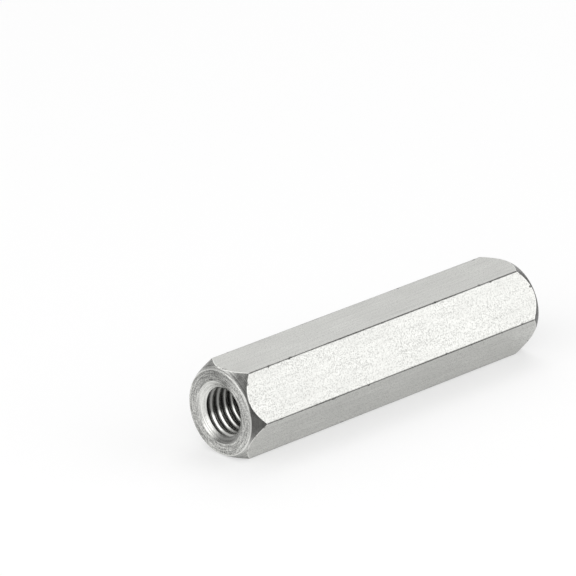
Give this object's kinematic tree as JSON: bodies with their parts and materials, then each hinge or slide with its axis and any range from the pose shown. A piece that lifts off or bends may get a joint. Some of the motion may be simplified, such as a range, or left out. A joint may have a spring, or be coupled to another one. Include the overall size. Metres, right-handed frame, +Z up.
{
  "type": "coupling nut",
  "caption": "Long hexagonal coupling nut of bare steel, tapped right through, with countersunk mouths and turned cone chamfers at both ends.",
  "frame": {"origin": "on the axis of the bore, halfway along the nut", "axes": "+X along the bore, +Z up through the middle of a flat, corners of the hexagon at plus and minus Y; the nut lies on its lower flat"},
  "size_m": [0.035, 0.0092, 0.008],
  "materials": {
    "steel": "bare drawn steel with turned ends"
  },
  "bodies": {
    "root": {"coupling_nut": "steel"}
  },
  "joints": []
}
